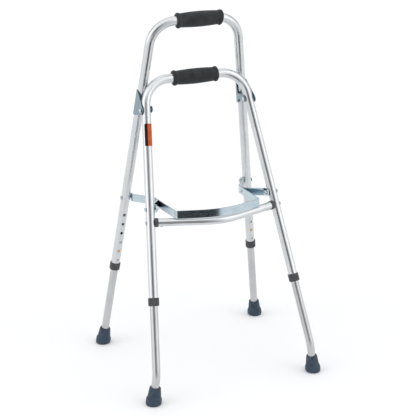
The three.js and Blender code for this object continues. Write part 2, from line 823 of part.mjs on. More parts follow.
// ---- label --------------------------------------------------------------------------------
function label() {
  const from = legPoint(LOW, -1, LABEL_Z[0]);
  const to = legPoint(LOW, -1, LABEL_Z[1]);
  const up = legUp(LOW, -1);
  const front = v3(0, -1, 0).addScaledVector(up, up.y).normalize();
  const across = up.clone().cross(front);
  const n = 8;
  const [start, end] = LABEL_ARC.map(THREE.MathUtils.degToRad);
  const arc = (r) =>
    Array.from({ length: n + 1 }, (_, i) => {
      const a = start + ((end - start) * i) / n;
      return new THREE.Vector2(r * Math.cos(a), r * Math.sin(a));
    });
  const shape = new THREE.Shape([...arc(TUBE_R + 0.5), ...arc(TUBE_R + 0.25).reverse()]);
  const depth = from.distanceTo(to);
  const sticker = new THREE.ExtrudeGeometry(shape, { depth, bevelEnabled: false });
  return sticker.applyMatrix4(new THREE.Matrix4().makeBasis(front, across, up).setPosition(from));
}

add("label", label(), "orange");

export default root;
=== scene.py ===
import json
import math

import bmesh
import bpy
from mathutils import Matrix, Quaternion, Vector


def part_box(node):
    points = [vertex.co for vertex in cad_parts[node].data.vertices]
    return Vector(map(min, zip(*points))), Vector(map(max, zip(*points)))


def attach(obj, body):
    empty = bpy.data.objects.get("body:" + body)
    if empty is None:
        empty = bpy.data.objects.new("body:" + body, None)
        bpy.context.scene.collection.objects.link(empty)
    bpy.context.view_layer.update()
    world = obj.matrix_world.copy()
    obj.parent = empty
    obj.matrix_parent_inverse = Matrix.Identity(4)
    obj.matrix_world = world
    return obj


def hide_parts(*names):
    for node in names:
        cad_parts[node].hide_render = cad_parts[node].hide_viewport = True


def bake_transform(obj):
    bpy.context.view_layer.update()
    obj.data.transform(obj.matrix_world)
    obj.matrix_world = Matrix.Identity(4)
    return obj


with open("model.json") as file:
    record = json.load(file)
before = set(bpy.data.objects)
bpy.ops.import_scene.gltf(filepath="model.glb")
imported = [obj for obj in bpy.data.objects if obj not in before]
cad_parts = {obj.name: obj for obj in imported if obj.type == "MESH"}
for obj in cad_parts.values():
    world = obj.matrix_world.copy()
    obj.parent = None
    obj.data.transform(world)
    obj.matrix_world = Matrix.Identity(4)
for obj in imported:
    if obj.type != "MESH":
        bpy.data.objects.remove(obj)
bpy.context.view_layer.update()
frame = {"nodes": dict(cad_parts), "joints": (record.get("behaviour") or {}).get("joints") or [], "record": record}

MM = 0.001
JOINTS = {joint["name"]: joint for joint in frame["joints"]}
MOUNTS = {mount["name"]: mount for mount in frame["record"]["mounts"]}
SIDES = ("left", "right")
FRAMES = ("tall", "low")

# ---- sizes the solids share with the frame ----
TUBE_R = 11.1
TUBE_BORE = 9.85
LEG_R = 9.525
LEG_BORE = 7.9
BEND = {"tall": 62, "low": 64}
TUBE_END_BELOW_COLLAR_MIDDLE = 7.25
HOLE_PITCH = 25.4
HOLES = 6
HOLE_R = 3.6
FRAME_DRILL = 16  # how far the drill reaches out from the leg's middle line
LEG_DRILL = 14
GAP = 0.3  # round whatever sits inside another piece
EXTENSION_ABOVE_BUTTON = 30
EXTENSION_FOOT = 14.4
FOOT_BEND = 70
CROSSBAR_BEND = 130
CROSSBAR_SLOPE = 0.32
COLLAR_LENGTH = 19.5
COLLAR_R = 13.1
COLLAR_RIBS = 34
COLLAR_STEP = 2.2
TIP_HEIGHT = 44
TIP_SOCKET = 11
TIP_BASE = 18  # the height over which a tip's rings turn from flat to square with its leg
TIP_FLUTES = 30
BUTTON_R = 3.2
BUTTON_LENGTH = 7.2
BUTTON_FOOT = 2.4  # from the extension's bore in to the button's foot
LEAF_CORNERS = ((5.12, 6), (5.12, -4), (2.6, -31), (-4.6, -31), (-6.6, 5))  # outwards, up from the button
PINS = {  # shank radius, head radius, head height
    "hinge": (3, 5.6, 2.6),
    "back": (2.4, 4.4, 1.8),
    "bolt": (3, 5.4, 2.6),
    "arm": (2.5, 4.4, 1.8),
    "leg": (2.4, 5, 2.2),
    "under": (2, 3.6, 1.4),
}
GRIP_LENGTH = 117.5
GRIP_BORE = 11.4
GRIP_SEGMENTS = 88
GRIP_RINGS = 120
BORE_RINGS = 24
LABEL_ARC = (-52, 67)  # degrees round the leg from straight ahead
LABEL_SPLIT = -12  # degrees, where black turns to orange
LABEL_CORNER = 2.2
LABEL_LEAN = 4.4  # how far the leaning label's box reaches past its ends on the leg's middle line
LABEL_COLUMNS = 40
LABEL_ROWS = 30

# ---- the camera and the light ----
VIEW_AZIMUTH = -23.16
VIEW_ELEVATION = 20.55
VIEW_TARGET = Vector((-0.0014, -0.0117, 0.4099))  # metres
VIEW_DISTANCE = 3.0065  # metres
LENS = 106.24
SENSOR_WIDTH = 36
CEILING_ENERGY = 1.15
CEILING_SPREAD = 100  # degrees
FLOOR_REACH = 120  # metres
CARD_AZIMUTH = -7  # degrees
CARD_LIFT = 0.002  # metres
CARD_CORNERS = ((0.85, -0.37), (4.5, -1.95), (4.5, 1.95), (0.85, 0.37))  # metres: distance, offset
WALLS = (0.665, 0.673, 0.68)
HORIZON = (1.0, 1.0, 1.0)
HORIZON_FADE = (2, 14)  # degrees of elevation, from the horizon's tone to the walls'
# The room's patches: azimuth from the camera, elevation, reach and softness in degrees, and tone.
PATCHES = (
    (-70, 22, 25, 8, (1.8, 1.8, 1.8)),
    (70, 22, 25, 8, (1.65, 1.65, 1.65)),
    (0, 16, 17, 7, (0.012, 0.014, 0.016)),
)


# ---- nodes --------------------------------------------------------------------------------
class Material:
    """A small helper round one node tree: it makes nodes, links them and ends in a Principled shader."""

    def __init__(self, name):
        self.material = bpy.data.materials.new(name)
        self.material.use_nodes = True
        self.tree = self.material.node_tree
        self.shader = self.tree.nodes["Principled BSDF"]
        self.place = self.node("ShaderNodeTexCoord").outputs["Object"]

    def node(self, kind, **settings):
        made = self.tree.nodes.new(kind)
        for name, value in settings.items():
            setattr(made, name, value)
        return made

    def link(self, output, socket):
        self.tree.links.new(output, socket)
        return output

    def set(self, **values):
        for name, value in values.items():
            self.shader.inputs[name.replace("_", " ")].default_value = value

    def stretched(self, x, y, z):
        """Object coordinates, scaled along each axis."""
        mapping = self.node("ShaderNodeMapping")
        mapping.inputs["Scale"].default_value = (x, y, z)
        self.link(self.place, mapping.inputs["Vector"])
        return mapping.outputs["Vector"]

    def noise(self, scale, detail=3.0, roughness=0.55, vector=None):
        noise = self.node("ShaderNodeTexNoise")
        noise.inputs["Scale"].default_value = scale
        noise.inputs["Detail"].default_value = detail
        noise.inputs["Roughness"].default_value = roughness
        self.link(vector or self.place, noise.inputs["Vector"])
        return noise.outputs["Fac"]

    def spread(self, value, low, high, start=0.3, end=0.7):
        """Maps a noise value from start..end onto low..high."""
        ramp = self.node("ShaderNodeMapRange")
        for socket, number in zip(("From Min", "From Max", "To Min", "To Max"), (start, end, low, high)):
            ramp.inputs[socket].default_value = number
        self.link(value, ramp.inputs["Value"])
        return ramp.outputs["Result"]

    def between(self, value, first, second):
        """A colour between two, by a value from 0 to 1."""
        mix = self.node("ShaderNodeMix", data_type="RGBA")
        self.link(value, mix.inputs["Factor"])
        mix.inputs["A"].default_value = (*first, 1)
        mix.inputs["B"].default_value = (*second, 1)
        return mix.outputs["Result"]

    def colour(self, output):
        self.link(output, self.shader.inputs["Base Color"])

    def roughness(self, output):
        self.link(output, self.shader.inputs["Roughness"])

    def bump(self, heights):
        """heights is a list of (value, depth in metres), the first the deepest."""
        normal = None
        for value, depth in heights:
            bump = self.node("ShaderNodeBump")
            bump.inputs["Strength"].default_value = 1.0
            bump.inputs["Distance"].default_value = depth
            self.link(value, bump.inputs["Height"])
            if normal:
                self.link(normal, bump.inputs["Normal"])
            normal = bump.outputs["Normal"]
        self.link(normal, self.shader.inputs["Normal"])


def drawn_aluminium(name, dark, light, low_rough, high_rough):
    """Satin anodised tube: a fine grain, faint clouding, and a few handling scuffs."""
    m = Material(name)
    m.set(Metallic=1.0, Specular_IOR_Level=0.5)
    clouds = m.noise(22, detail=4)
    grain = m.noise(1900, detail=3, roughness=0.6)
    scuffs = m.noise(1, detail=3, roughness=0.65, vector=m.stretched(420, 420, 70))
    m.colour(m.between(m.spread(clouds, 0, 1), dark, light))
    rough = m.node("ShaderNodeMath", operation="ADD")
    m.link(m.spread(m.noise(8, detail=1), low_rough, high_rough), rough.inputs[0])
    m.link(m.spread(scuffs, 0.0, 0.008, 0.55, 0.8), rough.inputs[1])
    m.roughness(rough.outputs["Value"])
    m.bump([(scuffs, 0.0000012), (grain, 0.0000004)])
    return m.material


def zinc_plate(name, dark, light):
    """Bright zinc: bluish, with rolling streaks along the sheet and a faint clouding."""
    m = Material(name)
    m.set(Metallic=1.0)
    mottle = m.noise(34, detail=4, roughness=0.6)
    streaks = m.noise(1, detail=4, roughness=0.7, vector=m.stretched(36, 36, 700))
    blend = m.node("ShaderNodeMath", operation="MULTIPLY_ADD")
    m.link(streaks, blend.inputs[0])
    blend.inputs[1].default_value = 0.65
    half = m.node("ShaderNodeMath", operation="MULTIPLY")
    m.link(mottle, half.inputs[0])
    half.inputs[1].default_value = 0.35
    m.link(half.outputs["Value"], blend.inputs[2])
    m.colour(m.between(m.spread(blend.outputs["Value"], 0, 1), dark, light))
    m.roughness(m.spread(streaks, 0.17, 0.205))
    m.bump([(streaks, 0.0000015)])
    return m.material


def fastener_steel():
    m = Material("fastener_steel")
    m.set(Metallic=1.0)
    grain = m.noise(700, detail=4)
    stain = m.noise(90, detail=3)
    m.colour(m.between(m.spread(stain, 0, 1), (0.42, 0.49, 0.54), (0.68, 0.72, 0.74)))
    m.roughness(m.spread(grain, 0.18, 0.36))
    m.bump([(grain, 0.00002)])
    return m.material


def button_brass():
    m = Material("button_brass")
    m.set(Metallic=1.0)
    grain = m.noise(900, detail=3)
    m.colour(m.between(m.spread(grain, 0, 1), (0.58, 0.30, 0.07), (0.86, 0.52, 0.16)))
    m.roughness(m.spread(grain, 0.22, 0.36))
    m.bump([(grain, 0.00001)])
    return m.material


def grip_foam():
    """Closed-cell foam with a rubbed skin: fine pores, soft blotches and a little sheen."""
    m = Material("grip_foam")
    m.set(Sheen_Weight=0.08, Sheen_Roughness=0.5, Specular_IOR_Level=0.22)
    pores = m.node("ShaderNodeTexVoronoi", feature="F1")
    pores.inputs["Scale"].default_value = 1100
    m.link(m.place, pores.inputs["Vector"])
    blotch = m.noise(55, detail=4)
    grain = m.noise(520, detail=4, roughness=0.65)
    m.colour(m.between(m.spread(blotch, 0, 1), (0.018, 0.019, 0.021), (0.036, 0.038, 0.041)))
    m.roughness(m.spread(grain, 0.62, 0.86))
    m.bump([(blotch, 0.00025), (grain, 0.00012), (pores.outputs["Distance"], 0.0001)])
    return m.material


def collar_plastic():
    m = Material("collar_plastic")
    m.set(Specular_IOR_Level=0.45)
    grain = m.noise(900, detail=4, roughness=0.7)
    blotch = m.noise(120, detail=3)
    m.colour(m.between(m.spread(blotch, 0, 1), (0.032, 0.033, 0.036), (0.072, 0.074, 0.079)))
    m.roughness(m.spread(grain, 0.42, 0.66))
    m.bump([(grain, 0.0001)])
    return m.material


def tip_rubber():
    """Blue-grey moulded rubber with a matte skin and a faint bloom."""
    m = Material("tip_rubber")
    m.set(Specular_IOR_Level=0.4, Sheen_Weight=0.12)
    grain = m.noise(750, detail=4, roughness=0.65)
    bloom = m.noise(70, detail=4)
    m.colour(m.between(m.spread(bloom, 0, 1), (0.015, 0.031, 0.052), (0.034, 0.063, 0.097)))
    m.roughness(m.spread(grain, 0.55, 0.78))
    m.bump([(bloom, 0.0002), (grain, 0.00012)])
    return m.material


def printed_film(name, ink, thin):
    """Glossy label film in one ink, with a faint print grain."""
    m = Material(name)
    m.set(Coat_Weight=0.06, Coat_Roughness=0.25, Specular_IOR_Level=0.18)
    grain = m.noise(1500, detail=2)
    wear = m.noise(90, detail=4)
    m.colour(m.between(m.spread(wear, 0, 0.8), ink, thin))
    m.roughness(m.spread(grain, 0.3, 0.42))
    m.bump([(wear, 0.00003)])
    return m.material


LOOKS = {
    "aluminium": drawn_aluminium("drawn_aluminium", (0.60, 0.615, 0.63), (0.66, 0.675, 0.69), 0.265, 0.3),
    "leg_aluminium": drawn_aluminium("leg_aluminium", (0.50, 0.505, 0.51), (0.56, 0.565, 0.57), 0.28, 0.35),
    "zinc": zinc_plate("zinc", (0.40, 0.50, 0.56), (0.60, 0.69, 0.74)),
    # The hinge brackets' zinc is the strap's zinc made darker: painted shade on the same plating.
    "shaded_bracket_zinc": zinc_plate("shaded_bracket_zinc", (0.15, 0.225, 0.26), (0.28, 0.36, 0.40)),
    "steel": fastener_steel(),
    "brass": button_brass(),
    "foam": grip_foam(),
    "plastic": collar_plastic(),
    "rubber": tip_rubber(),
    "label": printed_film("orange_film", (0.50, 0.060, 0.006), (0.58, 0.105, 0.018)),
}
BLACK_FILM = printed_film("black_film", (0.004, 0.004, 0.005), (0.014, 0.014, 0.016))


# ---- mesh helpers -------------------------------------------------------------------------
def in_scene(name, data):
    """An object of some mesh, light or camera data, linked into the scene."""
    made = bpy.data.objects.new(name, data)
    bpy.context.scene.collection.objects.link(made)
    return made


def mesh_of(name, bm):
    """A mesh of a bmesh, which it frees."""
    mesh = bpy.data.meshes.new(name)
    bm.to_mesh(mesh)
    bm.free()
    return mesh


def bridge(bm, low, high):
    """Closes the wall between two rings of the same number of points."""
    for a, b, c, d in zip(low, low[1:] + low[:1], high[1:] + high[:1], high):
        bm.faces.new((a, b, c, d))


def new_object(name, bm, look, smooth_angle=40):
    """Makes a shaded object of a bmesh, which it frees."""
    bmesh.ops.recalc_face_normals(bm, faces=bm.faces)
    mesh = mesh_of(name, bm)
    made = in_scene(name, mesh)
    mesh.materials.append(LOOKS[look])
    mesh.shade_smooth()
    mesh.set_sharp_from_angle(angle=math.radians(smooth_angle))
    return made


def show(made, body, look, *nodes):
    """The piece rides on a body and stands for CAD nodes, which it hides. The look given is not used."""
    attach(made, body)
    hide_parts(*nodes)
    return made


def bake_modifiers(made):
    """Applies every modifier of an object to its mesh."""
    bpy.context.view_layer.update()
    evaluated = made.evaluated_get(bpy.context.evaluated_depsgraph_get())
    mesh = bpy.data.meshes.new_from_object(evaluated)
    made.modifiers.clear()
    made.data = mesh


def frame_of(direction):
    """A rotation that turns +Z to a direction."""
    return Vector((0, 0, 1)).rotation_difference(direction).to_matrix().to_4x4()


def lathe(profile, segments, origin, direction, ripple=None):
    """A turned solid: (radius, height) pairs in millimetres, about a line. Ends of radius 0 close it."""
    bm = bmesh.new()
    rings = []
    for r, z in profile:
        if r == 0:
            rings.append([bm.verts.new((0, 0, z * MM))])
            continue
        ring = []
        for i in range(segments):
            a = 2 * math.pi * i / segments
            radius = (r + (ripple(a, r, z) if ripple else 0)) * MM
            ring.append(bm.verts.new((radius * math.cos(a), radius * math.sin(a), z * MM)))
        rings.append(ring)
    closed = profile[0][0] != 0
    pairs = list(zip(rings, rings[1:])) + ([(rings[-1], rings[0])] if closed else [])
    for low, high in pairs:
        for i in range(segments):
            j = (i + 1) % segments
            corners = [low[i % len(low)], low[j % len(low)], high[j % len(high)], high[i % len(high)]]
            bm.faces.new(list(dict.fromkeys(corners)))
    bm.transform(Matrix.Translation(origin) @ frame_of(direction))
    return bm


def rounded_path(corners, radius, step=5.0, straight=26.0):
    """Points and directions along a polyline in metres whose corners are rounded."""
    path = []
    start = corners[0]
    for before, corner, after in zip(corners, corners[1:], corners[2:]):
        way_in = (corner - before).normalized()
        way_out = (after - corner).normalized()
        turn = way_in.angle(way_out)
        reach = radius * MM * math.tan(turn / 2)
        bend_start = corner - way_in * reach
        inward = (way_out - way_in * way_in.dot(way_out)).normalized()
        centre = bend_start + inward * radius * MM
        runs = max(2, round((bend_start - start).length / (straight * MM)))
        path += [(start.lerp(bend_start, i / runs), way_in) for i in range(runs)]
        steps = max(4, math.ceil(math.degrees(turn) / step))
        for k in range(steps):
            a = turn * k / steps
            point = centre + (way_in * math.sin(a) - inward * math.cos(a)) * radius * MM
            path.append((point, way_in * math.cos(a) + inward * math.sin(a)))
        start = corner + way_out * reach
    way = (corners[-1] - start).normalized()
    runs = max(2, round((corners[-1] - start).length / (straight * MM)))
    path += [(start.lerp(corners[-1], i / runs), way) for i in range(runs + 1)]
    return path


def side_of(path):
    """A direction square to a path that lies in one plane, or to a straight one."""
    ways = [way for _, way in path]
    across = max((ways[0].cross(way) for way in ways), key=lambda v: v.length)
    return across.normalized() if across.length > 1e-4 else ways[0].orthogonal().normalized()


def swept_tube(path, outer, bore, segments=56, lip=0.35):
    """A tube with a wall and slightly rounded ends along a path."""
    across = side_of(path)
    bm = bmesh.new()

    def ring(point, way, radius):
        up = across.cross(way).normalized()
        turns = [2 * math.pi * i / segments for i in range(segments)]
        spokes = [across * math.cos(a) + up * math.sin(a) for a in turns]
        return [bm.verts.new(point + spoke * radius * MM) for spoke in spokes]

    (first, way_in), (last, way_out) = path[0], path[-1]
    stations = [(first, way_in, outer - lip), (first + way_in * lip * MM, way_in, outer)]
    stations += [(point, way, outer) for point, way in path[1:-1]]
    stations += [(last - way_out * lip * MM, way_out, outer), (last, way_out, outer - lip)]
    stations += [(point, way, bore) for point, way in reversed(path)]
    rings = [ring(*station) for station in stations]
    for low, high in zip(rings, rings[1:] + rings[:1]):
        bridge(bm, low, high)
    return bm


def drill(made, holes, reach):
    """Cuts round holes: each is a (centre, direction) pair, open from the centre outwards."""
    bm = bmesh.new()
    for centre, out in holes:
        loose = mesh_of("pin", lathe([(0, 0), (HOLE_R, 0), (HOLE_R, reach), (0, reach)], 28, centre, out))
        bm.from_mesh(loose)
        bpy.data.meshes.remove(loose)
    bmesh.ops.recalc_face_normals(bm, faces=bm.faces)
    mesh = mesh_of("drill", bm)
    cutter = in_scene("drill", mesh)
    cut = made.modifiers.new("holes", "BOOLEAN")
    cut.operation = "DIFFERENCE"
    cut.solver = "EXACT"
    cut.object = cutter
    bake_modifiers(made)
    bpy.data.objects.remove(cutter)
    bpy.data.meshes.remove(mesh)
    made.data.shade_smooth()
    made.data.set_sharp_from_angle(angle=math.radians(35))


def softened(node, name, look, edge, segments=3, sharp=28):
    """A copy of a CAD piece's faces with its sharp edges rounded, as a folded or cut sheet has them."""
    bm = bmesh.new()
    bm.from_mesh(frame["nodes"][node].data)
    bmesh.ops.remove_doubles(bm, verts=bm.verts, dist=0.02 * MM)
    bmesh.ops.dissolve_limit(bm, angle_limit=math.radians(0.6), verts=bm.verts, edges=bm.edges)
    edges = [e for e in bm.edges if len(e.link_faces) == 2 and e.calc_face_angle() > math.radians(sharp)]
    size = {"offset": edge * MM, "segments": segments, "profile": 0.6}
    bmesh.ops.bevel(bm, geom=edges, affect="EDGES", clamp_overlap=True, **size)
    made = new_object(name, bm, look, smooth_angle=50)
    weighted = made.modifiers.new("normals", "WEIGHTED_NORMAL")
    weighted.keep_sharp = True
    bake_modifiers(made)
    return made


# ---- where things are, from the frame -----------------------------------------------------
def centre(node):
    low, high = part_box(node)
    return (low + high) / 2


def leg_line(word, side):
    """A point on a leg's middle line, and the way up it."""
    up = Vector(JOINTS[f"height_{word}_{side}"]["axis"]).normalized()
    return centre(f"collar_{word}_{side}"), up


def at_height(line, z):
    """Where a line reaches a height."""
    point, way = line
    return point + way * ((z - point.z) / way.z)


def button_place(word, side):
    """The snap button's point on the leg's middle line, and the way out of its hole."""
    point, up = leg_line(word, side)
    out = -Vector(JOINTS[f"button_{word}_{side}"]["axis"]).normalized()
    return point + up * (centre(f"snap_button_{word}_{side}") - point).dot(up), out


def foot(word, side):
    return Vector(MOUNTS[f"foot_{word}_{side}"]["pos_m"])


def foot_bend(side):
    """Where a low leg's extension turns upright."""
    point, up = leg_line("low", side)
    return point + up * ((foot("low", side).y - point.y) / up.y)


def frame_path(word):
    """A frame tube's middle line: up the left leg, along the top bar and down the right leg."""
    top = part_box(f"{word}_frame_tube")[1].z - TUBE_R * MM
    lines = [leg_line(word, side) for side in SIDES]
    ends = [point - up * TUBE_END_BELOW_COLLAR_MIDDLE * MM for point, up in lines]
    return rounded_path([ends[0], at_height(lines[0], top), at_height(lines[1], top), ends[1]], BEND[word])


# ---- the pieces ---------------------------------------------------------------------------
def frame_tubes():
    """The two bent tubes, with a row of height holes in each leg."""
    for word in FRAMES:
        node = f"{word}_frame_tube"
        tube = new_object(f"{word}_tube", swept_tube(frame_path(word), TUBE_R, TUBE_BORE), "aluminium")
        holes = []
        for side in SIDES:
            button, out = button_place(word, side)
            up = leg_line(word, side)[1]
            holes += [(button + up * HOLE_PITCH * MM * (i - 1), out) for i in range(HOLES)]
        drill(tube, holes, FRAME_DRILL)
        show(tube, f"{word}_frame", "aluminium", node)


def extensions():
    """The thinner tubes inside the legs, each with the hole for its button."""
    for word in FRAMES:
        for side in SIDES:
            button, out = button_place(word, side)
            up = leg_line(word, side)[1]
            top = button + up * EXTENSION_ABOVE_BUTTON * MM
            ground = foot(word, side)
            if word == "low":
                bend = foot_bend(side)
                upright = (bend - ground).normalized()
                corners = [ground + upright * (EXTENSION_FOOT / upright.z) * MM, bend, top]
            else:
                corners = [ground + up * (EXTENSION_FOOT / up.z) * MM, top]
            path = rounded_path(corners, FOOT_BEND, step=3.0)
            name = f"extension_{word}_{side}"
            leg = new_object(name, swept_tube(path, LEG_R, LEG_BORE), "leg_aluminium")
            drill(leg, [(button, out)], LEG_DRILL)
            show(leg, f"leg_{word}_{side}", "leg_aluminium", f"leg_extension_{word}_{side}")


def grip_radius(s):
    """Outer radius of a grip at s, from -1 to 1 along it: flared ends, a waist by each, a full middle."""
    half = GRIP_LENGTH / 2
    from_end = (1 - abs(s)) * half
    middle = 16.4 + 2.4 * math.cos(s * math.pi / 2) ** 1.3
    flare = 2.2 * math.exp(-(((from_end - 4.6) / 4.4) ** 2))
    groove = 0.45 * math.exp(-(((from_end - 11.5) / 1.5) ** 2))
    lip = 3.4 * max(0.0, 1 - from_end / 3.6) ** 2.4
    return middle + flare - groove - lip


def measured(path):
    """Distances along a path to each of its points."""
    lengths = [0.0]
    for (a, _), (b, _) in zip(path, path[1:]):
        lengths.append(lengths[-1] + (b - a).length)
    return lengths


def on_path(path, lengths, distance):
    """The point at a distance along a path, and the way on from it."""
    k = next(k for k in range(1, len(lengths)) if lengths[k] >= distance)
    t = (distance - lengths[k - 1]) / (lengths[k] - lengths[k - 1])
    way = path[k - 1][1].lerp(path[k][1], t).normalized()
    return path[k - 1][0].lerp(path[k][0], t), way


def foam_sleeve(path, lengths, middle):
    """A grip's mesh: its crowned outside, then its bore back to the start, bent along the top bar."""
    forward = side_of(path)
    half = GRIP_LENGTH / 2 * MM
    bm = bmesh.new()

    def ring(distance, radius):
        point, way = on_path(path, lengths, distance)
        up = way.cross(forward).normalized()
        turns = [2 * math.pi * j / GRIP_SEGMENTS for j in range(GRIP_SEGMENTS)]
        spokes = [forward * math.cos(a) + up * math.sin(a) for a in turns]
        return [bm.verts.new(point + spoke * radius * MM) for spoke in spokes]

    stations = [math.sin(math.pi * (j / GRIP_RINGS - 0.5)) for j in range(GRIP_RINGS + 1)]
    loop = [ring(middle + s * half, grip_radius(s)) for s in stations]
    loop += [ring(middle + half * (1 - 2 * j / BORE_RINGS), GRIP_BORE) for j in range(BORE_RINGS + 1)]
    for low, high in zip(loop, loop[1:] + loop[:1]):
        bridge(bm, low, high)
    return bm


def grips():
    for word in FRAMES:
        path = frame_path(word)
        lengths = measured(path)
        level = next(i for i, (_, way) in enumerate(path) if abs(way.x) > 0.9999)
        middle = lengths[level] + (centre(f"{word}_grip").x - path[level][0].x)
        bm = foam_sleeve(path, lengths, middle)
        sleeve = new_object(f"{word}_foam_grip", bm, "foam", smooth_angle=60)
        show(sleeve, f"{word}_frame", "foam", f"{word}_grip")


def collars():
    """Ribbed plastic collars with chamfered ends, and a step inside that the upper tube stands on."""
    half = COLLAR_LENGTH / 2
    chamfer = [(COLLAR_R - 1.1, half), (COLLAR_R - 0.4, half - 0.5), (COLLAR_R, half - 1.3)]
    profile = [(TUBE_R + GAP, half)] + chamfer
    profile += [(COLLAR_R, half - 3 - i * (COLLAR_LENGTH - 6) / 6) for i in range(7)]
    profile += [(r, -z) for r, z in reversed(chamfer)]
    profile += [(LEG_R + GAP, -half), (LEG_R + GAP, COLLAR_STEP - half), (TUBE_R + GAP, COLLAR_STEP - half)]

    def ribbed(a, r, z):
        if r < COLLAR_R or abs(z) > half - 2:
            return 0
        return -0.42 * (0.5 - 0.5 * math.cos(COLLAR_RIBS * a)) ** 0.6

    for word in FRAMES:
        for side in SIDES:
            point, up = leg_line(word, side)
            bm = lathe(profile, COLLAR_RIBS * 6, point, up, ribbed)
            made = new_object(f"ribbed_collar_{word}_{side}", bm, "plastic", 50)
            show(made, f"{word}_frame", "plastic", f"collar_{word}_{side}")


def stood(bm, ground, up):
    """Stands a tip on the floor: its rings lie flat there, and turn square to the leg above its base."""
    turn = Vector((0, 0, 1)).rotation_difference(up)
    for vert in bm.verts:
        height = vert.co.z
        share = min(1.0, height / (TIP_BASE * MM))
        tilt = Quaternion().slerp(turn, share * share * (3 - 2 * share))
        flat = Vector((vert.co.x, vert.co.y, 0))
        vert.co = ground + up * (height / up.z if share < 1 else height) + tilt @ flat
        vert.co.z = max(vert.co.z, 0.0)


def rubber_tips():
    """Tips with a stepped, fluted base and a socket for the leg."""
    cone = [(16.9, 18.6), (16.4, 20), (15.9, 24), (15.2, 30), (14.5, 36), (13.8, 41.4), (13.4, 43)]
    base = [(16.6, 0), (18.0, 0.8), (18.9, 2.4), (19.25, 4.4), (19.3, 6.4)]
    band = [(19.25, 8), (19.15, 11), (18.9, 13.8), (18.4, 15.6), (17.6, 17), (17.1, 17.8)]
    rim = [(12.9, TIP_HEIGHT - 0.3), (12.1, TIP_HEIGHT), (LEG_R + GAP, TIP_HEIGHT - 0.6)]
    profile = [(0, 0), (9, 0)] + base + band + cone + rim + [(LEG_R + GAP, TIP_SOCKET), (0, TIP_SOCKET)]

    def fluted(a, r, z):
        if not 6.5 < z < 15 or r < 12:
            return 0
        return -0.5 * (0.5 - 0.5 * math.cos(TIP_FLUTES * a)) ** 2

    for word in FRAMES:
        for side in SIDES:
            ground = foot(word, side)
            up = (foot_bend(side) - ground).normalized() if word == "low" else leg_line(word, side)[1]
            bm = lathe(profile, TIP_FLUTES * 5, Vector((0, 0, 0)), Vector((0, 0, 1)), fluted)
            stood(bm, ground, up)
            made = new_object(f"moulded_tip_{word}_{side}", bm, "rubber", 45)
            show(made, f"leg_{word}_{side}", "rubber", f"rubber_tip_{word}_{side}")


def snap_buttons():
    """Brass buttons: a foot inside the extension, a shank through its hole and a domed end."""
    turns = [math.radians(a) for a in range(0, 90, 12)]
    dome = [(BUTTON_R * math.cos(a), BUTTON_LENGTH - 2.0 + 2.0 * math.sin(a)) for a in turns]
    foot_flange = [(0, 0), (4.1, 0), (4.3, 0.3), (4.3, 0.9), (BUTTON_R, 1.2)]
    profile = foot_flange + dome + [(0, BUTTON_LENGTH)]
    for word in FRAMES:
        for side in SIDES:
            middle, out = button_place(word, side)
            bm = lathe(profile, 32, middle + out * (LEG_BORE - BUTTON_FOOT) * MM, out)
            made = new_object(f"brass_button_{word}_{side}", bm, "brass", 50)
            show(made, f"button_{word}_{side}", "brass", f"snap_button_{word}_{side}")


def leaf_mesh(at, across):
    """A bent flat leaf with softened edges. at gives points by millimetres outwards and up the leg."""
    wide, thick, soft = 3.0, 0.35, 0.12
    edge = [(wide - soft, thick), (wide, thick - soft), (wide, soft - thick), (wide - soft, -thick)]
    section = edge + [(-x, y) for x, y in reversed(edge)]
    bm = bmesh.new()
    rings = []
    for point, way in rounded_path([at(*corner) for corner in LEAF_CORNERS], 2.6, step=15, straight=6):
        square = way.cross(across)
        rings.append([bm.verts.new(point + (across * x + square * y) * MM) for x, y in section])
    for low, high in zip(rings, rings[1:]):
        bridge(bm, low, high)
    bm.faces.new(rings[0])
    bm.faces.new(reversed(rings[-1]))
    return bm


def spring_leaves():
    """The bent leaf behind each button. On the real walker its near arm gives way with the button; here the leaf
    is one still piece.
    """
    for word in FRAMES:
        for side in SIDES:
            button, out = button_place(word, side)
            up = leg_line(word, side)[1]

            def at(outward, height):
                return button + (out * outward + up * height) * MM

            leaf = new_object(f"spring_leaf_{word}_{side}", leaf_mesh(at, out.cross(up)), "steel", 40)
            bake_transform(leaf)
            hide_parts(f"spring_clip_{word}_{side}")


def domed(radius, height):
    """A rivet head's profile from its flat face up to its crown."""
    turns = [math.radians(a) for a in range(14, 84, 10)]
    rise = [(radius * math.cos(a), height * math.sin(a)) for a in turns]
    return [(radius * 0.96, 0), (radius, height * 0.1)] + rise + [(0, height)]


def pin_between(name, node, body, way, kind, two_heads=False):
    """A pin that fills its CAD box along a way, with a domed head at its far end or at both."""
    low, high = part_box(node)
    shank, head, height = PINS[kind]
    middle = (low + high) / 2
    reach = abs((high - low).dot(way)) / 2 / MM
    top = [(shank, reach - height)] + [(r, reach - height + z) for r, z in domed(head, height)]
    bottom = [(0, -reach), (shank - 0.3, -reach), (shank, -reach + 0.3)]
    if two_heads:
        bottom = [(r, -z) for r, z in reversed(top)]
    made = new_object(name, lathe(bottom + top, 36, middle, way), "steel", 45)
    show(made, body, "steel", node)


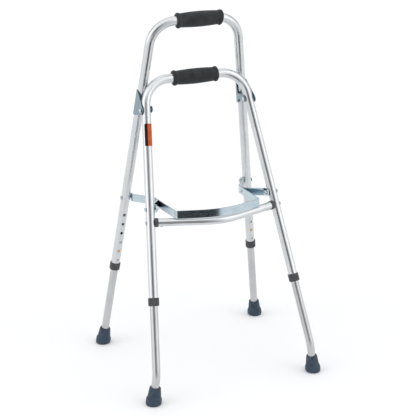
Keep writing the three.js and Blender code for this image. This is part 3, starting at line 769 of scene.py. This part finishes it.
def rivets_and_bolts():
    """The domed pins. Those with two heads join loose pieces, and the others end in a tube or a nut."""
    x, y, z = Vector((1, 0, 0)), Vector((0, 1, 0)), Vector((0, 0, 1))
    for side, sign in zip(SIDES, (-1, 1)):
        out = x * sign
        pin_between(f"hinge_pin_{side}", f"hinge_rivet_{side}", "tall_frame", out, "hinge", True)
        for place in ("lower", "upper"):
            node = f"bracket_rivet_{side}_{place}"
            pin_between(f"back_rivet_{side}_{place}", node, "tall_frame", y, "back")
        for word, body in (("strap", "tall_frame"), ("link", "low_frame")):
            pin_between(f"{word}_through_bolt_{side}", f"{word}_bolt_{side}", body, out, "bolt")
        pin_between(f"arm_rivet_{side}", f"link_rivet_{side}", "strap", out, "arm", True)
        pin_between(f"leg_rivet_{side}", f"crossbar_rivet_{side}", "low_frame", out, "leg")
        pin_between(f"under_pin_{side}", f"crossbar_pin_{side}", "low_frame", -z, "under")


def sheet_metal():
    """The brackets, strap, links and nuts keep their CAD outline and get rounded edges."""
    show(softened("locking_strap", "zinc_strap", "zinc", 0.7), "strap", "zinc", "locking_strap")
    for side in SIDES:
        link = softened(f"folding_link_{side}", f"zinc_link_{side}", "zinc", 0.7)
        show(link, f"link_{side}", "zinc", f"folding_link_{side}")
        # The brackets take the darker zinc, whose darkness is painted shade.
        bracket = softened(f"hinge_bracket_{side}", f"folded_bracket_{side}", "shaded_bracket_zinc", 0.5, 2)
        show(bracket, "tall_frame", "zinc", f"hinge_bracket_{side}")
        for node, body in ((f"strap_nut_{side}", "tall_frame"), (f"link_nut_{side}", f"link_{side}")):
            show(softened(node, f"hexagon_{node}", "steel", 0.4, 2), body, "steel", node)


def crossbar():
    """The bowed tube between the low legs, and its end plugs."""
    low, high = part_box("crossbar_tube")
    pin = centre("crossbar_pin_right")
    reach = high.x - LEG_R * MM * CROSSBAR_SLOPE / math.hypot(1, CROSSBAR_SLOPE)

    # Each half runs straight through the pin under it, up to the rounded corner where the two meet.
    def at(x):
        return Vector((x, pin.y + CROSSBAR_SLOPE * (abs(x) - pin.x), (low.z + high.z) / 2))

    path = rounded_path([at(-reach), at(0), at(reach)], CROSSBAR_BEND, step=2.0)
    tube = new_object("bowed_crossbar", swept_tube(path, LEG_R, LEG_BORE), "aluminium")
    show(tube, "low_frame", "aluminium", "crossbar_tube")
    for side in SIDES:
        node = f"crossbar_plug_{side}"
        show(softened(node, f"saddle_plug_{side}", "plastic", 0.25, 2, 40), "low_frame", "plastic", node)


def label_grid(bm):
    """The label's points, (layer, column, row), on the front of the left low leg, corners rounded."""
    line = leg_line("low", "left")
    up = line[1]
    low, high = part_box("label")
    bottom = at_height(line, low.z + LABEL_LEAN * MM)
    length = (at_height(line, high.z - LABEL_LEAN * MM) - bottom).length
    front = Vector((0, -1, 0))
    front = (front - up * front.dot(up)).normalized()
    across = up.cross(front)
    corner = LABEL_CORNER * MM
    start, end = LABEL_ARC
    grid = {}
    for layer, radius in (("out", TUBE_R + 0.42), ("in", TUBE_R + 0.12)):
        for i in range(LABEL_COLUMNS + 1):
            a = math.radians(start + (end - start) * i / LABEL_COLUMNS)
            edge = min(i, LABEL_COLUMNS - i) / LABEL_COLUMNS * math.radians(end - start) * radius * MM
            tuck = corner - math.sqrt(max(0.0, corner**2 - max(0.0, corner - edge) ** 2))
            spoke = front * math.cos(a) + across * math.sin(a)
            for j in range(LABEL_ROWS + 1):
                z = tuck + (length - 2 * tuck) * j / LABEL_ROWS
                grid[layer, i, j] = bm.verts.new(bottom + up * z + spoke * radius * MM)
    return grid


def label():
    """A two-colour sticker wrapped round the leg's front: black to the left, orange to the right."""
    bm = bmesh.new()
    grid = label_grid(bm)
    columns, rows = LABEL_COLUMNS, LABEL_ROWS
    start, end = LABEL_ARC
    for layer in ("out", "in"):
        for i in range(columns):
            for j in range(rows):
                corners = ((i, j), (i + 1, j), (i + 1, j + 1), (i, j + 1))
                face = bm.faces.new([grid[layer, k, m] for k, m in corners])
                if start + (end - start) * (i + 0.5) / columns < LABEL_SPLIT:
                    face.material_index = 1
    rim = [(i, 0) for i in range(columns)] + [(columns, j) for j in range(rows)]
    rim += [(i, rows) for i in range(columns, 0, -1)] + [(0, j) for j in range(rows, 0, -1)]
    for (i, j), (k, m) in zip(rim, rim[1:] + rim[:1]):
        bm.faces.new([grid["out", i, j], grid["out", k, m], grid["in", k, m], grid["in", i, j]])
    made = new_object("two_colour_label", bm, "label", 60)
    made.data.materials.append(BLACK_FILM)
    show(made, "low_frame", "label", "label")


def hidden_pieces():
    """The CAD's own meshes get materials too: the washers sealed in the tips keep theirs."""
    slots = {s["node"]: s["material_slot"] for s in frame["record"]["subparts"]}
    for name, node in frame["nodes"].items():
        node.data.materials.clear()
        node.data.materials.append(LOOKS[slots[name]])


# ---- the room -----------------------------------------------------------------------------
def floor():
    """A wide pale floor, a little uneven in tone."""
    m = Material("pale_floor")
    wash = m.noise(0.8, detail=2)
    m.colour(m.between(m.spread(wash, 0, 1), (0.87, 0.875, 0.88), (0.89, 0.89, 0.895)))
    m.set(Roughness=0.9, Specular_IOR_Level=0.1)
    bm = bmesh.new()
    bmesh.ops.create_grid(bm, x_segments=2, y_segments=2, size=FLOOR_REACH)
    made = in_scene("floor", mesh_of("floor", bm))
    made.data.materials.append(m.material)


def toward(azimuth, elevation):
    """The direction of a place seen from the object, in the view tool's angles."""
    a, e = math.radians(azimuth), math.radians(elevation)
    return Vector((math.sin(a) * math.cos(e), -math.cos(a) * math.cos(e), math.sin(e)))


def bright_room():
    """The world: soft white all round, brighter on both sides, with a dark opening at the camera.

    The bright patches and the opening draw the light and dark lines down each tube.
    """
    world = bpy.data.worlds.new("studio")
    bpy.context.scene.world = world
    world.use_nodes = True
    tree = world.node_tree

    def faded(value, start, end):
        """From 0 at start to 1 at end, smoothly."""
        fade = tree.nodes.new("ShaderNodeMapRange")
        fade.interpolation_type = "SMOOTHSTEP"
        fade.inputs["From Min"].default_value = start
        fade.inputs["From Max"].default_value = end
        tree.links.new(value, fade.inputs["Value"])
        return fade.outputs["Result"]

    def mixed(share, tone):
        """A mix node that turns to the tone as the share goes to 1."""
        mix = tree.nodes.new("ShaderNodeMix")
        mix.data_type = "RGBA"
        mix.inputs["B"].default_value = (*tone, 1)
        tree.links.new(share, mix.inputs["Factor"])
        return mix

    way = tree.nodes.new("ShaderNodeTexCoord").outputs["Generated"]
    parts = tree.nodes.new("ShaderNodeSeparateXYZ")
    tree.links.new(way, parts.inputs["Vector"])
    rise = [math.sin(math.radians(angle)) for angle in HORIZON_FADE]
    walls = mixed(faded(parts.outputs["Z"], *rise), WALLS)
    walls.inputs["A"].default_value = (*HORIZON, 1)
    for azimuth, elevation, reach, softness, tone in PATCHES:
        facing = tree.nodes.new("ShaderNodeVectorMath")
        facing.operation = "DOT_PRODUCT"
        facing.inputs[1].default_value = toward(VIEW_AZIMUTH + azimuth, elevation)
        tree.links.new(way, facing.inputs[0])
        edge = [math.cos(math.radians(angle)) for angle in (reach + softness, reach - softness)]
        patch = mixed(faded(facing.outputs["Value"], *edge), tone)
        tree.links.new(walls.outputs["Result"], patch.inputs["A"])
        walls = patch
    tree.links.new(walls.outputs["Result"], tree.nodes["Background"].inputs["Color"])


def dark_card():
    """A dark card flat on the floor before the object, which only the metal sees."""
    m = Material("dark_card")
    grain = m.noise(30, detail=2)
    m.colour(m.between(m.spread(grain, 0, 1), (0.008, 0.01, 0.012), (0.014, 0.016, 0.018)))
    m.set(Roughness=0.95, Specular_IOR_Level=0.0)
    front = toward(CARD_AZIMUTH, 0)
    across = Vector((-front.y, front.x, 0))
    above = Vector((0, 0, CARD_LIFT))
    bm = bmesh.new()
    bm.faces.new([bm.verts.new(front * near + across * wide + above) for near, wide in CARD_CORNERS])
    made = in_scene("dark_card", mesh_of("dark_card", bm))
    made.data.materials.append(m.material)
    made.visible_camera = False
    made.visible_diffuse = False
    made.visible_shadow = False


def studio():
    """Even white light: the bright room, and a wide soft light overhead."""
    bright_room()
    dark_card()
    ceiling = bpy.data.lights.new("ceiling", "SUN")
    ceiling.energy = CEILING_ENERGY
    ceiling.angle = math.radians(CEILING_SPREAD)
    in_scene("ceiling", ceiling)
    bpy.context.scene.view_settings.view_transform = "Standard"


def camera():
    """Looks at the object's middle from the front left, and from a little above."""
    data = bpy.data.cameras.new("camera")
    data.lens = LENS
    data.sensor_width = SENSOR_WIDTH
    made = in_scene("camera", data)
    way = toward(VIEW_AZIMUTH, VIEW_ELEVATION)
    made.location = VIEW_TARGET + way * VIEW_DISTANCE
    made.rotation_euler = way.to_track_quat("Z", "Y").to_euler()
    bpy.context.scene.camera = made


camera()
studio()
floor()
hidden_pieces()
frame_tubes()
extensions()
grips()
collars()
rubber_tips()
snap_buttons()
spring_leaves()
rivets_and_bolts()
sheet_metal()
crossbar()
label()
